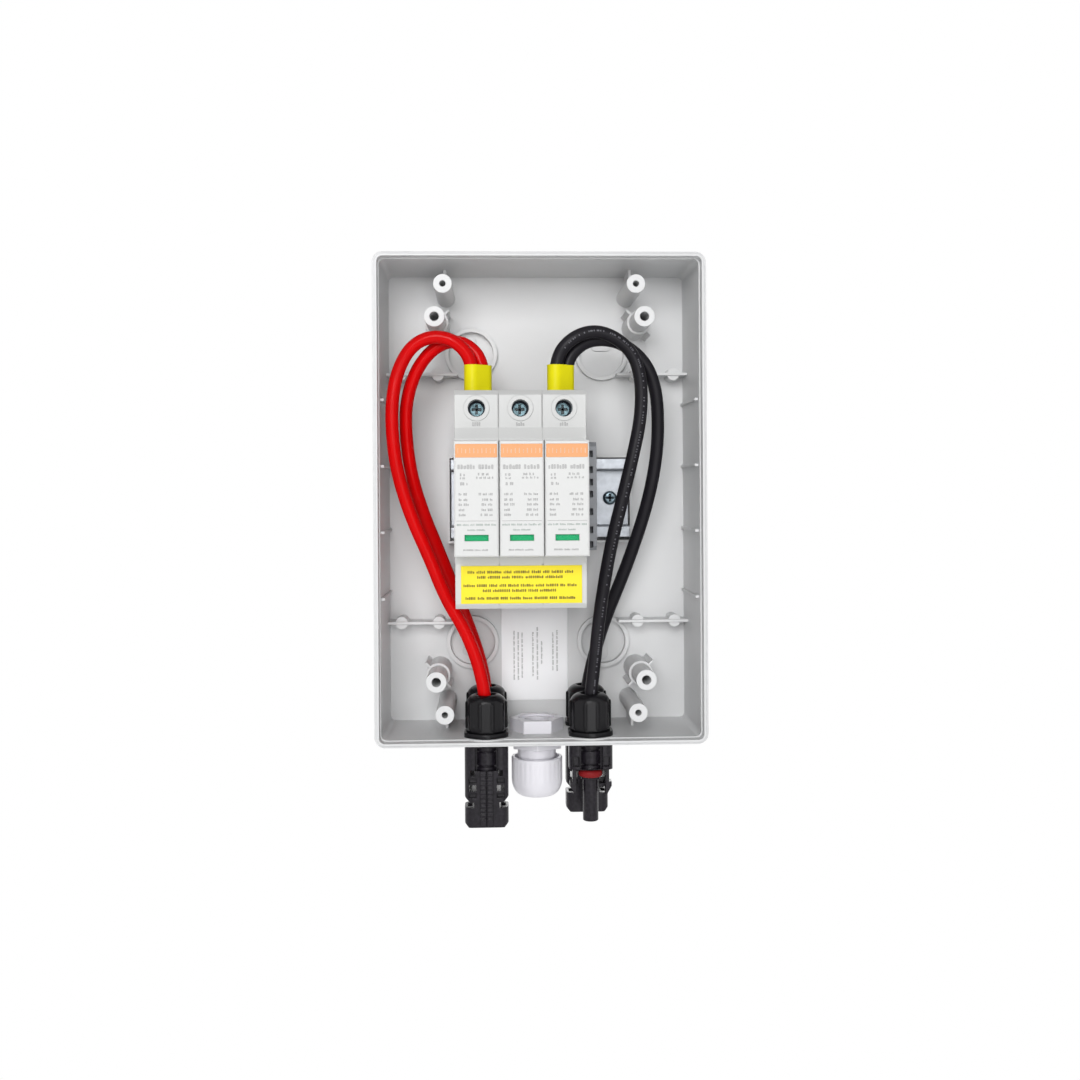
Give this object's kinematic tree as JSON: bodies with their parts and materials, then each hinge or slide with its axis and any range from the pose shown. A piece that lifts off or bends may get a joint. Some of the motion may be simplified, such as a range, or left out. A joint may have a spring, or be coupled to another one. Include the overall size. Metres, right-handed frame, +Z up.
{
  "type": "solar combiner box",
  "caption": "Open wall box with a plug-in surge protector on a short rail, looped leads and panel connectors with a cable gland in its bottom wall.",
  "frame": {"origin": "middle of the tray's back face, on the wall", "axes": "+X to the right seen from the front, +Y into the wall, +Z up"},
  "size_m": [0.142, 0.083, 0.2456],
  "materials": {
    "tray_plastic": "fine moulded grain, satin",
    "base_plastic": "satin",
    "module_plastic": "satin, printed bands",
    "clamp_plastic": "satin",
    "foot_plastic": "satin",
    "flag_green": "satin",
    "window_clear": "clear, gloss",
    "rail_zinc": "galvanized",
    "screw_zinc": "zinc plated",
    "clamp_steel": "plated",
    "contact_copper": "bare copper",
    "varistor_coat": "epoxy coat",
    "ferrule_yellow": "satin",
    "ferrule_tin": "tinned",
    "lead_red": "satin insulation",
    "lead_black": "satin insulation",
    "connector_black": "fine grain",
    "seal_black": "dull",
    "seal_red": "dull",
    "contact_silver": "plated",
    "gland_plastic": "satin",
    "gland_rubber": "dull",
    "label_film": "printed film",
    "label_white": "printed film"
  },
  "bodies": {
    "enclosure": {"enclosure_base": "tray_plastic", "din_rail": "rail_zinc", "rail_screws": "screw_zinc", "end_clamp": "clamp_plastic", "spd_base_1": "base_plastic", "spd_base_2": "base_plastic", "spd_base_3": "base_plastic", "terminal_screws": "screw_zinc", "terminal_clamps": "clamp_steel", "upper_contact_1": "contact_copper", "lower_contact_1": "contact_copper", "upper_contact_2": "contact_copper", "lower_contact_2": "contact_copper", "upper_contact_3": "contact_copper", "lower_contact_3": "contact_copper", "positive_ferrule": "ferrule_yellow", "negative_ferrule": "ferrule_yellow", "ferrule_barrels": "ferrule_tin", "positive_lead_front": "lead_red", "positive_lead_rear": "lead_red", "negative_lead_front": "lead_black", "negative_lead_rear": "lead_black", "positive_front_shell": "connector_black", "positive_rear_shell": "connector_black", "negative_front_shell": "connector_black", "negative_rear_shell": "connector_black", "connector_lock_nuts": "connector_black", "connector_cap_nuts": "connector_black", "panel_seals": "seal_black", "lead_seals": "seal_black", "contact_pins": "contact_silver", "contact_sockets": "contact_silver", "nose_seals": "seal_red", "gland_body": "gland_plastic", "gland_lock_nut": "gland_plastic", "gland_washer": "gland_rubber", "gland_seal": "gland_rubber", "gland_cap": "gland_plastic", "spd_label": "label_film", "floor_label": "label_white"},
    "module_1": {"module_housing_1": "module_plastic", "module_back_1": "module_plastic", "module_blades_1": "contact_copper", "varistor_1": "varistor_coat", "status_window_1": "window_clear"},
    "flag_1": {"status_flag_1": "flag_green"},
    "module_2": {"module_housing_2": "module_plastic", "module_back_2": "module_plastic", "module_blades_2": "contact_copper", "varistor_2": "varistor_coat", "status_window_2": "window_clear"},
    "flag_2": {"status_flag_2": "flag_green"},
    "module_3": {"module_housing_3": "module_plastic", "module_back_3": "module_plastic", "module_blades_3": "contact_copper", "varistor_3": "varistor_coat", "status_window_3": "window_clear"},
    "flag_3": {"status_flag_3": "flag_green"},
    "foot": {"rail_foot": "foot_plastic"}
  },
  "joints": [
    {"name": "module_pull_1", "type": "slide", "parent": "enclosure", "child": "module_1", "axis": [0, -1, 0], "range_m": [0, 0.042]},
    {"name": "flag_drop_1", "type": "slide", "parent": "module_1", "child": "flag_1", "axis": [0, 0, -1], "range_m": [0, 0.0035]},
    {"name": "module_pull_2", "type": "slide", "parent": "enclosure", "child": "module_2", "axis": [0, -1, 0], "range_m": [0, 0.042]},
    {"name": "flag_drop_2", "type": "slide", "parent": "module_2", "child": "flag_2", "axis": [0, 0, -1], "range_m": [0, 0.0035]},
    {"name": "module_pull_3", "type": "slide", "parent": "enclosure", "child": "module_3", "axis": [0, -1, 0], "range_m": [0, 0.042]},
    {"name": "flag_drop_3", "type": "slide", "parent": "module_3", "child": "flag_3", "axis": [0, 0, -1], "range_m": [0, 0.0035]},
    {"name": "foot_slide", "type": "slide", "parent": "enclosure", "child": "foot", "axis": [0, 0, -1], "range_m": [0, 0.003], "stiffness_N_per_m": 300, "springref_m": -0.003}
  ]
}
